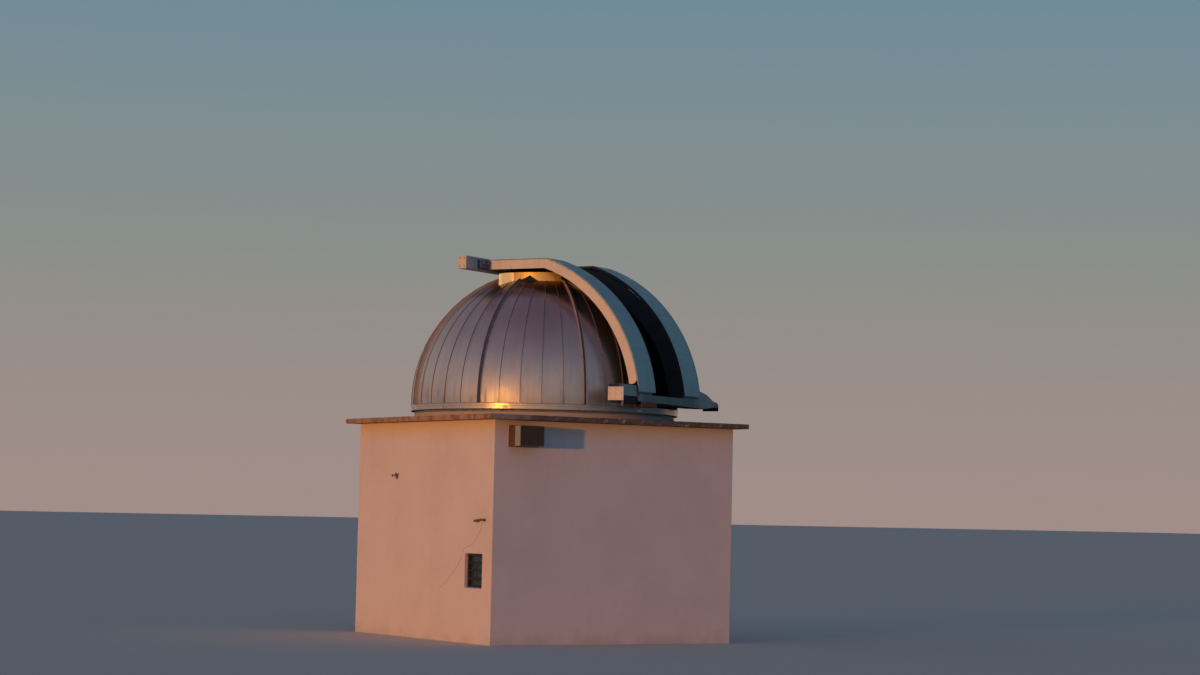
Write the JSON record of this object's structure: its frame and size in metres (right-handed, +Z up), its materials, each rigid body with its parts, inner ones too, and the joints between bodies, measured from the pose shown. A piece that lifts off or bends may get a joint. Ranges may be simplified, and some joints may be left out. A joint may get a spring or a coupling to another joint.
{
  "type": "observatory dome building",
  "caption": "Square rendered observatory building with a rotating sheet-metal dome, open slit and two sliding curved shutters.",
  "frame": {"origin": "centre of the building's footprint at the lowest ground level, on the dome's turning axis", "axes": "+Z up; -Y out of the wall with the cooling unit; -X out of the wall with the window; at rest the slit faces 27.5 degrees from -Y towards +X"},
  "size_m": [6.6403, 7.0875, 8.27],
  "materials": {
    "wall": "limewashed render, matte",
    "concrete": "weathered concrete, matte",
    "floor": "screed, matte",
    "kerb": "painted masonry, matte",
    "aluminium": "bare sheet, dull satin",
    "steel": "mill finish",
    "shutter_paint": "white paint, satin",
    "rail_paint": "white paint, satin",
    "dark_steel": "dark, matte",
    "red_oxide": "red oxide primer, matte",
    "timber": "weathered boards",
    "casing": "faded enamel",
    "grille": "dark, matte",
    "window_frame": "brown paint, matte",
    "glass": "dark window glass",
    "door": "faded grey paint"
  },
  "bodies": {
    "building": {"floor_slab": "floor", "front_wall": "wall", "left_wall": "wall", "right_wall": "wall", "back_wall": "wall", "roof_slab": "concrete", "dome_kerb": "kerb", "dome_track": "steel", "window_frame": "window_frame", "window_glass": "glass", "unit_sleeve": "timber", "unit_casing": "casing", "unit_grille": "grille", "door_frame": "window_frame", "door_leaf": "door"},
    "dome": {"dome_ring": "aluminium", "dome_panel_front_left": "aluminium", "dome_panel_side_left": "aluminium", "dome_panel_rear_left": "aluminium", "dome_rib_left_42": "aluminium", "dome_rib_left_87": "aluminium", "dome_rib_left_132": "aluminium", "slit_girder_left": "shutter_paint", "crown_cap_left": "aluminium", "sill_plate_left": "rail_paint", "rail_gusset_left": "dark_steel", "dome_panel_front_right": "aluminium", "dome_panel_side_right": "aluminium", "dome_panel_rear_right": "aluminium", "dome_rib_right_42": "aluminium", "dome_rib_right_87": "aluminium", "dome_rib_right_132": "aluminium", "slit_girder_right": "shutter_paint", "crown_cap_right": "aluminium", "sill_plate_right": "rail_paint", "rail_gusset_right": "dark_steel", "dome_rib_rear": "aluminium", "slit_back_frame": "shutter_paint", "top_rail": "rail_paint", "bottom_rail_hood": "rail_paint", "bottom_rail_beam": "dark_steel", "drive_bracket": "red_oxide"},
    "shutter_left": {"shutter_skin_left": "shutter_paint", "shutter_side_left": "shutter_paint", "shutter_carriage_left": "dark_steel"},
    "shutter_right": {"shutter_skin_right": "shutter_paint", "shutter_side_right": "shutter_paint", "shutter_carriage_right": "dark_steel"}
  },
  "joints": [
    {"name": "dome_turn", "type": "hinge", "parent": "building", "child": "dome", "pos_m": [0, 0, 5], "axis": [0, 0, 1], "continuous": true},
    {"name": "shutter_left_slide", "type": "slide", "parent": "dome", "child": "shutter_left", "axis": [-0.887, -0.4617, 0], "range_m": [-0.6425, 0.18]},
    {"name": "shutter_right_slide", "type": "slide", "parent": "dome", "child": "shutter_right", "axis": [0.887, 0.4617, 0], "range_m": [-0.6425, 0.18]}
  ]
}
